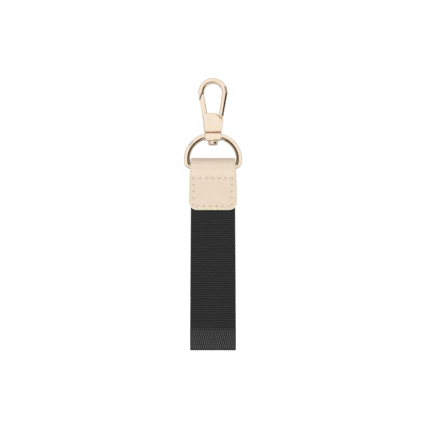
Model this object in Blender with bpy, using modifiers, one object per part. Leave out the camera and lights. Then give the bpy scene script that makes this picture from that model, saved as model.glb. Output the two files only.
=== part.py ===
"""Wristlet keychain: a webbing loop sewn into a leather tab, on the ring of a swivel snap hook.

The origin is where the hook bears on what it hangs from, inside the top of its eye. +Z is up, +X is to
the right and the front faces -Y. Lengths are in metres and angles in radians.
"""

import math

import bmesh
import bpy
from mathutils import Matrix, Vector

# Clearances
GAP = 0.0003
RUNNING_GAP = 0.0001
THRUST_GAP = 0.00015
FORK_GAP = 0.00015
SWIVEL_GAP = 0.0005
CUT_OVERRUN = 0.002

# Hook casting
HOOK_WIRE_D = 0.0031
HOOK_WIRE_END_SHARE = 0.86
EYE_INNER_R = 0.0049
EYE_TAPER = math.radians(9.5)
EYE_DEPTH = 0.0161
BODY_H = 0.0103
BODY_TOP_HALF_W = 0.0059
BODY_BOTTOM_HALF_W = 0.00485
BODY_T = 0.0058
BODY_BEVEL = 0.0011
BODY_LEFT_CORNER = 0.001
BODY_SHOULDER_W = 0.0042
BODY_SHOULDER_H = 0.0035
ARM_ROOT_DEPTH = 0.004

# Gate, its pin and its spring
GATE_W = 0.0029
GATE_T = 0.0027
GATE_EDGE = 0.0004
GATE_OPEN = math.radians(28.0)
GATE_TIP_DEPTH = 0.0055
GATE_TIP_CUT = 0.0034
GATE_TIP_FLAT_SHARE = 0.42
PIN_D = 0.0012
PIN_DROP = 0.0051
PIN_SEAT = 0.0009
SPRING_WIRE_D = 0.0003
SPRING_MEAN_R = 0.00095
SPRING_TURNS = 3
SPRING_PITCH = 0.00036
SPRING_LEG = 0.0032

# Swivel
RIVET_SHANK_D = 0.003
RIVET_SEAT = 0.0025
RIVET_HEAD_D = 0.0055
RIVET_HEAD_H = 0.0025
RIVET_HEAD_ROUND = 0.0012

# Ring casting
RING_WIRE_D = 0.0034
RING_ARCH_H = 0.0127
RING_ARCH_RISE = 0.0003
RING_SIDE_H = 0.00145
RING_CORNER_R = 0.00265
RING_SIDE_PLAY = 0.0005
BOSS_W = 0.0086
BOSS_H = 0.0043
BOSS_T = 0.0056
BOSS_EDGE = 0.0005

# Webbing
WEBBING_W = 0.025
WEBBING_T = 0.0011
PLY_GAP = 0.0002
LOOP_DROP = 0.0767
LOOP_HALF_T = 0.0055
LOOP_END_H = 0.009
WEBBING_TUCK = 0.0195

# Leather tab
LEATHER_T = 0.0014
TAB_H = 0.0286
TAB_OVERLAP = 0.0007
TAB_FOLD_INSET = 0.0012
TAB_CORNER_R = 0.0044
FOLD_SLACK = 0.0014
BAR_SIDE_GAP = 0.00035
TAB_CLOSE_H = 0.0045

# Box stitch
STITCH_LEFT_MARGIN = 0.00255
STITCH_RIGHT_MARGIN = 0.0031
STITCH_TOP_DROP = 0.0111
STITCH_BOTTOM_MARGIN = 0.0024
STITCH_TOP_CORNER_R = 0.0006
STITCH_BOTTOM_CORNER_R = 0.0018
THREAD_D = 0.0005
THREAD_GAP = 0.0002
THREAD_SINK = 0.00015

# What follows from them
EYE_MID_R = EYE_INNER_R + HOOK_WIRE_D / 2
BODY_TOP_Z = -EYE_DEPTH
BODY_BOTTOM_Z = BODY_TOP_Z - BODY_H
BOSS_TOP_Z = BODY_BOTTOM_Z - SWIVEL_GAP
BOSS_BOTTOM_Z = BOSS_TOP_Z - BOSS_H
RING_INNER_HALF_W = WEBBING_W / 2
RING_MID_HALF_W = RING_INNER_HALF_W + RING_WIRE_D / 2
ARCH_CENTRE_Z = BOSS_TOP_Z + RING_ARCH_RISE - RING_WIRE_D / 2 - RING_ARCH_H
BAR_Z = ARCH_CENTRE_Z - RING_SIDE_H - RING_CORNER_R
STACK_HALF_T = WEBBING_T + PLY_GAP / 2
PANEL_INNER_Y = STACK_HALF_T + GAP
PANEL_FACE_Y = PANEL_INNER_Y + LEATHER_T
FOLD_INNER_R = RING_WIRE_D / 2 + BAR_SIDE_GAP
FOLD_OUTER_R = FOLD_INNER_R + LEATHER_T
TAB_TOP_Z = BAR_Z + RING_WIRE_D / 2 + FOLD_SLACK + LEATHER_T
FOLD_CENTRE_Z = TAB_TOP_Z - FOLD_OUTER_R
TAB_BOTTOM_Z = TAB_TOP_Z - TAB_H
TAB_HALF_W = WEBBING_W / 2 + TAB_OVERLAP
FOLD_HALF_W = RING_INNER_HALF_W - RING_SIDE_PLAY
LOOP_END_Z = TAB_BOTTOM_Z - LOOP_DROP
GATE_PIVOT_Z = BODY_TOP_Z - PIN_DROP
SLOT_HALF_T = GATE_T / 2 + GAP
FORK_HALF_T = (SPRING_TURNS * SPRING_PITCH + SPRING_WIRE_D) / 2 + FORK_GAP
FORK_TOP = SPRING_LEG + 2 * GAP

METAL = (0.86, 0.72, 0.56)
DARK_METAL = (0.40, 0.30, 0.20)
LEATHER = (0.80, 0.70, 0.55)
WEBBING = (0.03, 0.03, 0.032)
THREAD = (0.78, 0.68, 0.52)


def empty_scene():
    """Removes every object that the scene starts with."""
    for old in list(bpy.data.objects):
        bpy.data.objects.remove(old, do_unlink=True)


def new_collection(name, hidden=False):
    """A collection in the scene, left out of renders when it is hidden."""
    made = bpy.data.collections.new(name)
    made.hide_render = hidden
    bpy.context.scene.collection.children.link(made)
    return made


def new_material(name, colour, roughness, metallic):
    """A plain Principled material."""
    made = bpy.data.materials.new(name)
    made.use_nodes = True
    shader = made.node_tree.nodes["Principled BSDF"]
    shader.inputs["Base Color"].default_value = (*colour, 1.0)
    shader.inputs["Roughness"].default_value = roughness
    shader.inputs["Metallic"].default_value = metallic
    return made


def add(name, data, group):
    """A new object with this data, linked to one collection."""
    made = bpy.data.objects.new(name, data)
    group.objects.link(made)
    if group.hide_render:
        made.hide_render = True
        made.display_type = "WIRE"
    return made


def finish(piece, finish_material):
    """Gives a piece its material and smooth shading with sharp creases kept."""
    piece.data.materials.clear()
    piece.data.materials.append(finish_material)
    piece.data.shade_smooth()
    piece.data.set_sharp_from_angle(angle=math.radians(35.0))


def as_mesh(curve_object, group):
    """Turns a curve object into a mesh object with its caps welded, in the same place."""
    bpy.context.view_layer.update()
    graph = bpy.context.evaluated_depsgraph_get()
    data = bpy.data.meshes.new_from_object(curve_object.evaluated_get(graph))
    work = bmesh.new()
    work.from_mesh(data)
    bmesh.ops.remove_doubles(work, verts=work.verts, dist=1e-6)
    bmesh.ops.recalc_face_normals(work, faces=work.faces)
    work.to_mesh(data)
    work.free()
    name = curve_object.name
    place = curve_object.matrix_world.copy()
    bpy.data.objects.remove(curve_object, do_unlink=True)
    data.name = name
    made = add(name, data, group)
    made.matrix_world = place
    return made


def outline(name, points, half_depth, group, edge=0.0, along_x=False):
    """A solid from a flat outline of (across, z) points, half_depth to each side of its plane.

    The plane faces front and back, or left and right when along_x is set. Its rim is rounded by edge.
    """
    data = bpy.data.curves.new(name, "CURVE")
    data.dimensions = "2D"
    data.fill_mode = "BOTH"
    data.extrude = half_depth - edge
    data.bevel_depth = edge
    data.bevel_resolution = 3
    data.offset = -edge
    spline = data.splines.new("POLY")
    spline.points.add(len(points) - 1)
    for target, (across, height) in zip(spline.points, points):
        target.co = (across, height, 0.0, 1.0)
    spline.use_cyclic_u = True
    made = add(name, data, group)
    turn = math.pi / 2 if along_x else 0.0
    made.rotation_euler = (math.pi / 2, 0.0, turn)
    return as_mesh(made, group)


def tube(name, points, radius, group, end_share=1.0, closed=False, sides=12):
    """A round tube through the points, which thins to end_share of its radius at the last one."""
    data = bpy.data.curves.new(name, "CURVE")
    data.dimensions = "3D"
    data.bevel_depth = radius
    data.bevel_resolution = (sides - 4) // 2
    data.use_fill_caps = True
    spline = data.splines.new("POLY")
    spline.points.add(len(points) - 1)
    last = len(points) - 1
    for index, (target, place) in enumerate(zip(spline.points, points)):
        target.co = (*place, 1.0)
        target.radius = 1.0 + (end_share - 1.0) * index / last
    spline.use_cyclic_u = closed
    return as_mesh(add(name, data, group), group)


def cylinder(name, radius, length, centre, axis, group, sides=48):
    """A cylinder of this length, centred on a point, along an axis."""
    work = bmesh.new()
    bmesh.ops.create_cone(
        work, cap_ends=True, segments=sides, radius1=radius, radius2=radius, depth=length
    )
    data = bpy.data.meshes.new(name)
    work.to_mesh(data)
    work.free()
    made = add(name, data, group)
    made.rotation_mode = "QUATERNION"
    made.rotation_quaternion = Vector((0.0, 0.0, 1.0)).rotation_difference(Vector(axis))
    made.location = centre
    return made


def box(name, size, centre, group, edge=0.0, turn=0.0):
    """A box with its edges rounded by edge, turned about Y."""
    work = bmesh.new()
    bmesh.ops.create_cube(work, size=1.0, matrix=Matrix.Diagonal((*size, 1.0)))
    data = bpy.data.meshes.new(name)
    work.to_mesh(data)
    work.free()
    made = add(name, data, group)
    made.rotation_euler = (0.0, turn, 0.0)
    made.location = centre
    if edge:
        rounding = made.modifiers.new("rounded edges", "BEVEL")
        rounding.width = edge
        rounding.segments = 3
    return made


def turned(name, profile, group, steps=48):
    """A shape turned about Z from (radius, z) points, listed from its top down its outer side."""
    work = bmesh.new()
    corners = [work.verts.new((radius, 0.0, height)) for radius, height in profile]
    for start, end in zip(corners, corners[1:]):
        work.edges.new((start, end))
    data = bpy.data.meshes.new(name)
    work.to_mesh(data)
    work.free()
    made = add(name, data, group)
    screw = made.modifiers.new("turn", "SCREW")
    screw.steps = steps
    screw.render_steps = steps
    screw.use_merge_vertices = True
    screw.merge_threshold = 0.00001
    return made


def combine(piece, other, operation):
    """Adds an exact Boolean to the piece."""
    modifier = piece.modifiers.new(f"{operation.lower()} {other.name}", "BOOLEAN")
    modifier.operation = operation
    modifier.solver = "EXACT"
    modifier.object = other


def arc(centre, radii, start, end, steps):
    """(across, z) points on an ellipse, from one angle to another, both ends included."""
    points = []
    for step in range(steps + 1):
        angle = start + (end - start) * step / steps
        points.append(
            (centre[0] + radii[0] * math.cos(angle), centre[1] + radii[1] * math.sin(angle))
        )
    return points


def smooth(share):
    """Eases from 0 to 1 as share goes from 0 to 1."""
    held = min(max(share, 0.0), 1.0)
    return held * held * (3.0 - 2.0 * held)


def in_front_plane(points, y=0.0):
    """Turns (x, z) points into 3-D ones at this depth."""
    return [(x, y, z) for x, z in points]


def gate_line(height):
    """X of the gate's centreline at this height: the eye's left side, carried down to the pivot."""
    tangent_x = -EYE_MID_R * math.cos(EYE_TAPER)
    tangent_z = -EYE_INNER_R - EYE_MID_R * math.sin(EYE_TAPER)
    return tangent_x + (tangent_z - height) * math.tan(EYE_TAPER)


def gate_pivot():
    """Where the gate's pin is, as a point."""
    return Vector((gate_line(GATE_PIVOT_Z), 0.0, GATE_PIVOT_Z))


def on_gate(across, along):
    """The (x, z) point at this place on the closed gate, across it to the right and along it from its pin."""
    pivot = gate_pivot()
    side = (math.cos(EYE_TAPER), math.sin(EYE_TAPER))
    up = (-math.sin(EYE_TAPER), math.cos(EYE_TAPER))
    return (
        pivot.x + across * side[0] + along * up[0],
        pivot.z + across * side[1] + along * up[1],
    )


def gate_length():
    """From the pin to the highest point of the gate's tip."""
    return (-GATE_TIP_DEPTH - GATE_PIVOT_Z) / math.cos(EYE_TAPER)


def hook_arm_path():
    """The arm's centreline: from the nose, over the top of the eye and down the right side into the body."""
    centre = (0.0, -EYE_INNER_R)
    nose = on_gate(0.0, gate_length() - GATE_TIP_CUT - HOOK_WIRE_D)
    over = arc(centre, (EYE_MID_R, EYE_MID_R), math.pi + EYE_TAPER, -EYE_TAPER, 36)
    root_z = BODY_TOP_Z - ARM_ROOT_DEPTH
    middle_z = (over[-1][1] + root_z) / 2
    down = [(-gate_line(middle_z), middle_z), (-gate_line(root_z), root_z)]
    return in_front_plane([nose, *over, *down])


def body_right_edge(height):
    """X of the body's tapered side at this height."""
    share = (BODY_TOP_Z - height) / BODY_H
    return BODY_TOP_HALF_W + (BODY_BOTTOM_HALF_W - BODY_TOP_HALF_W) * share


def make_hook_body(parts, cutters):
    """The hook's casting: body, arm and nose, slotted for the gate and bored for its pin and the rivet."""
    corner_z = BODY_TOP_Z - BODY_LEFT_CORNER
    shoulder_z = BODY_TOP_Z - BODY_SHOULDER_H
    points = [
        (-body_right_edge(corner_z), corner_z),
        (-BODY_TOP_HALF_W + BODY_LEFT_CORNER, BODY_TOP_Z),
        (BODY_TOP_HALF_W - BODY_SHOULDER_W, BODY_TOP_Z),
        (body_right_edge(shoulder_z), shoulder_z),
        (BODY_BOTTOM_HALF_W, BODY_BOTTOM_Z),
        (-BODY_BOTTOM_HALF_W, BODY_BOTTOM_Z),
    ]
    body = outline("hook_body", points, BODY_T / 2, parts, edge=BODY_BEVEL)
    arm = tube(
        "hook_arm", hook_arm_path(), HOOK_WIRE_D / 2, cutters, HOOK_WIRE_END_SHARE, sides=20
    )
    combine(body, arm, "UNION")
    combine(body, make_nose_cutter(cutters), "DIFFERENCE")
    combine(body, make_slot_cutter(cutters), "DIFFERENCE")
    pin_hole = cylinder(
        "pin_hole",
        PIN_D / 2 + RUNNING_GAP,
        2 * (SLOT_HALF_T + PIN_SEAT + RUNNING_GAP),
        gate_pivot(),
        (0.0, 1.0, 0.0),
        cutters,
        sides=32,
    )
    combine(body, pin_hole, "DIFFERENCE")
    socket_h = RIVET_SEAT + RUNNING_GAP + CUT_OVERRUN
    socket = cylinder(
        "rivet_socket",
        RIVET_SHANK_D / 2 + RUNNING_GAP,
        socket_h,
        (0.0, 0.0, BODY_BOTTOM_Z - CUT_OVERRUN + socket_h / 2),
        (0.0, 0.0, 1.0),
        cutters,
    )
    combine(body, socket, "DIFFERENCE")
    return body


def gate_tip(clearance):
    """The stepped line between gate and nose, from the outer side in, moved towards the nose by clearance."""
    half = GATE_W / 2
    top = gate_length() + clearance
    step_x = half - GATE_TIP_FLAT_SHARE * GATE_W - clearance
    return [(-half - clearance, top - GATE_TIP_CUT), (step_x, top), (half + clearance, top)]


def make_nose_cutter(cutters):
    """What cuts the end of the arm to the line of the gate's tip."""
    outer, step, inner = gate_tip(GAP)
    slope = (step[1] - outer[1]) / (step[0] - outer[0])
    wide = HOOK_WIRE_D
    foot = outer[1] - HOOK_WIRE_D - 2 * CUT_OVERRUN
    points = [
        on_gate(-wide, foot),
        on_gate(wide, foot),
        on_gate(wide, inner[1]),
        on_gate(*step),
        on_gate(-wide, outer[1] - slope * (outer[0] + wide)),
    ]
    return outline("nose_cutter", points, HOOK_WIRE_D, cutters)


def slot_reach():
    """How far the slot's wall stands off the gate's pin."""
    return GATE_W / 2 + GAP


def make_slot_cutter(cutters):
    """What cuts the slot that the gate turns in: open at the top and on the left."""
    pivot = gate_pivot()
    reach = slot_reach()
    lean = GATE_OPEN - EYE_TAPER
    above = BODY_TOP_Z + CUT_OVERRUN
    outside = -BODY_TOP_HALF_W - CUT_OVERRUN
    wall_top = pivot.x + (above - pivot.z) * math.tan(lean) + reach / math.cos(lean)
    points = [(outside, above), (wall_top, above)]
    points += arc((pivot.x, pivot.z), (reach, reach), -lean, -math.pi / 2, 10)
    points.append((outside, pivot.z - reach))
    return outline("gate_slot", points, SLOT_HALF_T, cutters)


def make_gate(parts, cutters):
    """The gate: a flat lever whose forked foot turns on the pin. Its origin is on the pin's axis."""
    half = GATE_W / 2
    outer, step, inner = gate_tip(0.0)
    foot = arc((0.0, 0.0), (half, half), 0.0, -math.pi, 14)
    local = [outer, step, inner, *foot]
    points = [on_gate(across, along) for across, along in local]
    pivot = gate_pivot()
    points = [(x - pivot.x, z - pivot.z) for x, z in points]
    lever = outline("gate_lever", points, GATE_T / 2, parts, edge=GATE_EDGE)
    lever.location = pivot
    hole = cylinder(
        "gate_hole", PIN_D / 2 + RUNNING_GAP, 2 * GATE_T, pivot, (0.0, 1.0, 0.0), cutters, 32
    )
    combine(lever, hole, "DIFFERENCE")
    low = -half - CUT_OVERRUN
    centre_x, centre_z = on_gate(0.0, (FORK_TOP + low) / 2)
    fork = box(
        "gate_fork",
        (GATE_W + 2 * CUT_OVERRUN, 2 * FORK_HALF_T, FORK_TOP - low),
        (centre_x, 0.0, centre_z),
        cutters,
        turn=-EYE_TAPER,
    )
    combine(lever, fork, "DIFFERENCE")
    return lever


def make_gate_pin(parts):
    """The pin through both cheeks of the slot."""
    return cylinder(
        "gate_pin",
        PIN_D / 2,
        2 * (SLOT_HALF_T + PIN_SEAT),
        gate_pivot(),
        (0.0, 1.0, 0.0),
        parts,
        sides=24,
    )


def make_gate_spring(parts):
    """The torsion spring: its first leg lies up the gate and its last leg ends by the slot's wall."""
    pivot = gate_pivot()
    per_turn = 12
    to_wall = slot_reach() - GAP - SPRING_WIRE_D / 2
    leg_span = math.hypot(SPRING_MEAN_R, SPRING_LEG)
    lean_out = math.atan2(SPRING_LEG, SPRING_MEAN_R) - math.acos(to_wall / leg_span)
    first = math.pi - EYE_TAPER
    last = first + 2 * math.pi * SPRING_TURNS - math.pi + 2 * EYE_TAPER - GATE_OPEN - lean_out
    count = round(per_turn * (last - first) / (2 * math.pi))
    stack = SPRING_TURNS * SPRING_PITCH
    coil = []
    for step in range(count + 1):
        share = step / count
        angle = first + (last - first) * share
        coil.append(
            (
                pivot.x + SPRING_MEAN_R * math.cos(angle),
                (share - 0.5) * stack,
                pivot.z + SPRING_MEAN_R * math.sin(angle),
            )
        )
    start_leg = (
        coil[0][0] + SPRING_LEG * math.sin(first),
        coil[0][1],
        coil[0][2] - SPRING_LEG * math.cos(first),
    )
    end_leg = (
        coil[-1][0] - SPRING_LEG * math.sin(last),
        coil[-1][1],
        coil[-1][2] + SPRING_LEG * math.cos(last),
    )
    return tube("gate_spring", [start_leg, *coil, end_leg], SPRING_WIRE_D / 2, parts, sides=8)


def make_rivet(parts):
    """The rivet: its shank is fixed in the hook's body and its head carries the ring's boss."""
    shank_r = RIVET_SHANK_D / 2
    head_r = RIVET_HEAD_D / 2
    top = BODY_BOTTOM_Z + RIVET_SEAT
    under_boss = BOSS_BOTTOM_Z - THRUST_GAP
    bottom = under_boss - RIVET_HEAD_H
    rounding = arc(
        (head_r - RIVET_HEAD_ROUND, bottom + RIVET_HEAD_ROUND),
        (RIVET_HEAD_ROUND, RIVET_HEAD_ROUND),
        0.0,
        -math.pi / 2,
        8,
    )
    profile = [(0.0, top), (shank_r, top), (shank_r, under_boss), (head_r, under_boss)]
    return turned("swivel_rivet", [*profile, *rounding, (0.0, bottom)], parts)


def ring_path():
    """The ring's centreline, from inside the boss down the right side, along the bar and up the left."""
    inside = BOSS_W / 2 - RING_WIRE_D / 4
    start = math.acos(inside / RING_MID_HALF_W)
    right = arc((0.0, ARCH_CENTRE_Z), (RING_MID_HALF_W, RING_ARCH_H), start, 0.0, 28)
    corner_centre = (RING_MID_HALF_W - RING_CORNER_R, BAR_Z + RING_CORNER_R)
    radii = (RING_CORNER_R, RING_CORNER_R)
    right += arc(corner_centre, radii, 0.0, -math.pi / 2, 10)
    left = [(-x, z) for x, z in reversed(right)]
    return in_front_plane([*right, *left])


def make_ring(parts, cutters):
    """The ring's casting: the boss with its bore, and the D with its straight bar."""
    boss_z = (BOSS_TOP_Z + BOSS_BOTTOM_Z) / 2
    boss = box("ring_boss", (BOSS_W, BOSS_T, BOSS_H), (0.0, 0.0, boss_z), cutters, BOSS_EDGE)
    wire = tube("d_ring", ring_path(), RING_WIRE_D / 2, parts, sides=20)
    combine(wire, boss, "UNION")
    bore = cylinder(
        "boss_bore",
        RIVET_SHANK_D / 2 + RUNNING_GAP,
        BOSS_H + 2 * CUT_OVERRUN,
        (0.0, 0.0, boss_z),
        (0.0, 0.0, 1.0),
        cutters,
    )
    combine(wire, bore, "DIFFERENCE")
    return wire


def fold_side(radius, panel_y, top_z):
    """One side of the folded strip, as (y, z) points up from the tab's lower edge to the fold."""
    points = [(panel_y, TAB_BOTTOM_Z)]
    start_z = top_z - TAB_CLOSE_H
    for step in range(11):
        share = step / 10
        y = panel_y + (radius - panel_y) * smooth(share)
        points.append((y, start_z + TAB_CLOSE_H * share))
    return points


def tab_half_width(height):
    """Half the tab's width at this height: narrow inside the ring and wider than the strap below it."""
    below = BAR_Z - height
    widen_from = RING_WIRE_D / 2 + GAP
    first = smooth((below - widen_from) / RING_WIRE_D)
    rest = min(max((below - widen_from) / (BAR_Z - TAB_BOTTOM_Z), 0.0), 1.0)
    shoulder = 0.5 * (FOLD_HALF_W + TAB_HALF_W)
    return FOLD_HALF_W + (shoulder - FOLD_HALF_W) * first + (TAB_HALF_W - shoulder) * rest


def make_leather_tab(parts, cutters):
    """The leather strip: folded over the bar, cut to its outline and grooved for both threads."""
    close_top = BAR_Z - RING_WIRE_D / 2 + GAP
    outer = fold_side(FOLD_OUTER_R, PANEL_FACE_Y, close_top)
    inner = fold_side(FOLD_INNER_R, PANEL_INNER_Y, close_top)
    centre = (0.0, FOLD_CENTRE_Z)
    over = arc(centre, (FOLD_OUTER_R, FOLD_OUTER_R), 0.0, math.pi, 24)
    under = arc(centre, (FOLD_INNER_R, FOLD_INNER_R), math.pi, 0.0, 24)
    back_of = [(-y, z) for y, z in reversed(outer)]
    back_in = [(-y, z) for y, z in inner]
    section = [*outer, *over, *back_of, *back_in, *under, *reversed(inner)]
    tab = outline("leather_tab", section, TAB_HALF_W + CUT_OVERRUN, parts, along_x=True)
    corner = (TAB_HALF_W - TAB_CORNER_R, TAB_BOTTOM_Z + TAB_CORNER_R)
    right = [(FOLD_HALF_W, TAB_TOP_Z + CUT_OVERRUN)]
    side_h = TAB_TOP_Z - corner[1]
    for step in range(25):
        height = TAB_TOP_Z - side_h * step / 24
        right.append((tab_half_width(height), height))
    right += arc(corner, (TAB_CORNER_R, TAB_CORNER_R), 0.0, -math.pi / 2, 10)[1:]
    left = [(-x, z) for x, z in reversed(right)]
    shape = outline("tab_outline", [*right, *left], 2 * FOLD_OUTER_R, cutters)
    combine(tab, shape, "INTERSECT")
    for name, side in (("front_groove", -1.0), ("back_groove", 1.0)):
        groove = tube(
            name, stitch_path(side), THREAD_D / 2 + THREAD_GAP, cutters, closed=True, sides=8
        )
        combine(tab, groove, "DIFFERENCE")
    return tab


def stitch_path(side):
    """The ring of stitches on the front (side -1) or back (side 1) of the tab."""
    left = -TAB_HALF_W + STITCH_LEFT_MARGIN
    right = TAB_HALF_W - STITCH_RIGHT_MARGIN
    top = TAB_TOP_Z - STITCH_TOP_DROP
    bottom = TAB_BOTTOM_Z + STITCH_BOTTOM_MARGIN
    small = STITCH_TOP_CORNER_R
    large = STITCH_BOTTOM_CORNER_R
    quarter = math.pi / 2
    points = arc((right - small, top - small), (small, small), quarter, 0.0, 4)
    points += arc((right - large, bottom + large), (large, large), 0.0, -quarter, 6)
    points += arc((left + large, bottom + large), (large, large), -quarter, -2 * quarter, 6)
    points += arc((left + small, top - small), (small, small), 2 * quarter, quarter, 4)
    return in_front_plane(points, side * (PANEL_FACE_Y - THREAD_D / 2 - THREAD_SINK))


def make_thread(name, side, parts):
    """One of the two threads of the lock stitch, as the ring that shows on its side of the tab."""
    return tube(name, stitch_path(side), THREAD_D / 2, parts, closed=True, sides=8)


def loop_section():
    """The strap's outer face as (y, z) points: down the front, round the fold and up the back."""
    top = TAB_BOTTOM_Z + WEBBING_TUCK
    wide_z = LOOP_END_Z + LOOP_END_H
    front = [(-STACK_HALF_T, top)]
    for step in range(25):
        share = step / 24
        y = STACK_HALF_T + (LOOP_HALF_T - STACK_HALF_T) * smooth(share)
        front.append((-y, TAB_BOTTOM_Z + (wide_z - TAB_BOTTOM_Z) * share))
    fold = arc((0.0, wide_z), (LOOP_HALF_T, LOOP_END_H), math.pi, 2 * math.pi, 28)[1:-1]
    back = [(-y, z) for y, z in reversed(front)]
    return [*front, *fold, *back]


def make_webbing(parts):
    """The strap: one sheet along the loop's section, thickened inwards."""
    work = bmesh.new()
    rail = [work.verts.new((-WEBBING_W / 2, y, z)) for y, z in loop_section()]
    edges = [work.edges.new(pair) for pair in zip(rail, rail[1:])]
    swept = bmesh.ops.extrude_edge_only(work, edges=edges)
    moved = [item for item in swept["geom"] if isinstance(item, bmesh.types.BMVert)]
    bmesh.ops.translate(work, verts=moved, vec=(WEBBING_W, 0.0, 0.0))
    data = bpy.data.meshes.new("webbing_strap")
    work.to_mesh(data)
    work.free()
    strap = add("webbing_strap", data, parts)
    thickness = strap.modifiers.new("thickness", "SOLIDIFY")
    thickness.thickness = WEBBING_T
    thickness.offset = 1.0
    thickness.use_even_offset = True
    return strap


def main():
    """Builds every piece and gives each its material."""
    empty_scene()
    parts = new_collection("wristlet_keychain")
    cutters = new_collection("cutters", hidden=True)
    pale_gold = new_material("pale_gold", METAL, 0.12, 1.0)
    steel = new_material("dark_steel", DARK_METAL, 0.3, 1.0)
    leather = new_material("cream_leather", LEATHER, 0.5, 0.0)
    weave = new_material("black_webbing", WEBBING, 0.8, 0.0)
    thread = new_material("cream_thread", THREAD, 0.7, 0.0)
    finish(make_hook_body(parts, cutters), pale_gold)
    finish(make_gate(parts, cutters), pale_gold.copy())
    finish(make_gate_pin(parts), steel)
    finish(make_gate_spring(parts), steel.copy())
    finish(make_rivet(parts), pale_gold.copy())
    finish(make_ring(parts, cutters), pale_gold.copy())
    finish(make_leather_tab(parts, cutters), leather)
    finish(make_webbing(parts), weave)
    finish(make_thread("needle_thread", -1.0, parts), thread)
    finish(make_thread("bobbin_thread", 1.0, parts), thread.copy())


if __name__ == "__main__":
    main()
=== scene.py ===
"""Looks of a wristlet keychain: polished castings, a sewn leather tab and a woven strap.

Sizes in the classes are in millimetres, in the frame of the CAD model: the origin is inside the top of
the hook's eye, +Z is up, +X is to the right and the front faces -Y.
"""

import logging
import math
from collections.abc import Callable
from dataclasses import dataclass
from enum import Enum
from typing import Any

import bmesh
import bpy
import numpy as np
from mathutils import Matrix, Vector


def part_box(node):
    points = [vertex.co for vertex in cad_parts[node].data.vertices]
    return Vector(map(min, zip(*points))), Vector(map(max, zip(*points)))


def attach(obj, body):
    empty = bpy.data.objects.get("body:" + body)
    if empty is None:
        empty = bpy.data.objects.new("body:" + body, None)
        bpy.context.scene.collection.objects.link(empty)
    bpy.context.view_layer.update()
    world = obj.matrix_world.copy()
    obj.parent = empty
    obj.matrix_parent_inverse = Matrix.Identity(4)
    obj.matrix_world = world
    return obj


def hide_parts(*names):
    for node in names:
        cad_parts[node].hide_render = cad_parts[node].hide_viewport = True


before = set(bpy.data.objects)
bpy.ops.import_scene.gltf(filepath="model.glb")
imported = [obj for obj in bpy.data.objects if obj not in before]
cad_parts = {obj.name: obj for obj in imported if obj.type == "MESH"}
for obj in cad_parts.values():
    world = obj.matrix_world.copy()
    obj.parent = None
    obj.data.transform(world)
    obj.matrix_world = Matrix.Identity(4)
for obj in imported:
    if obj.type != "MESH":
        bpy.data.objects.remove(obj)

LOG = logging.getLogger("wristlet")
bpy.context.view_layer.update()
MM = 0.001
WHITE = (1.0, 1.0, 1.0)
TAN = (0.42, 0.36, 0.3)
DEEP = (0.06, 0.045, 0.022)
SOFT = (0.26, 0.205, 0.14)
PALE = (0.74, 0.78, 0.8)

Colour = tuple[float, float, float]
Array = np.ndarray
Field = Callable[[Array, Array, Array], Array]


class Face(Enum):
    """The two broad sides of the tab, as the sign of Y that they face."""

    FRONT = -1.0
    BACK = 1.0


# ---------------------------------------------------------------- shader tree


class Wire:
    """An output socket. Sums and comparisons on it add Math nodes to its tree."""

    def __init__(self, tree: "Tree", socket: bpy.types.NodeSocket) -> None:
        """Keeps the socket with the tree that it belongs to."""
        self.tree = tree
        self.socket = socket

    def _math(self, operation: str, *values: Any) -> "Wire":
        """Adds one Math node.

        Args:
            operation: the node's operation.
            values: its inputs in order, each a Wire or a number.

        Returns:
            The node's result.
        """
        return self.tree.add("ShaderNodeMath", {"operation": operation}, dict(enumerate(values)))

    def __add__(self, other: Any) -> "Wire":
        """This plus other."""
        return self._math("ADD", self, other)

    __radd__ = __add__

    def __sub__(self, other: Any) -> "Wire":
        """This minus other."""
        return self._math("SUBTRACT", self, other)

    def __rsub__(self, other: Any) -> "Wire":
        """Other minus this."""
        return self._math("SUBTRACT", other, self)

    def __mul__(self, other: Any) -> "Wire":
        """This times other."""
        return self._math("MULTIPLY", self, other)

    __rmul__ = __mul__

    def eased(self, low: float, high: float) -> "Wire":
        """0 below low, 1 above high and a smooth step between them."""
        return self.tree.add(
            "ShaderNodeMapRange",
            {"interpolation_type": "SMOOTHSTEP"},
            {"Value": self, "From Min": low, "From Max": high},
        )


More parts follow.
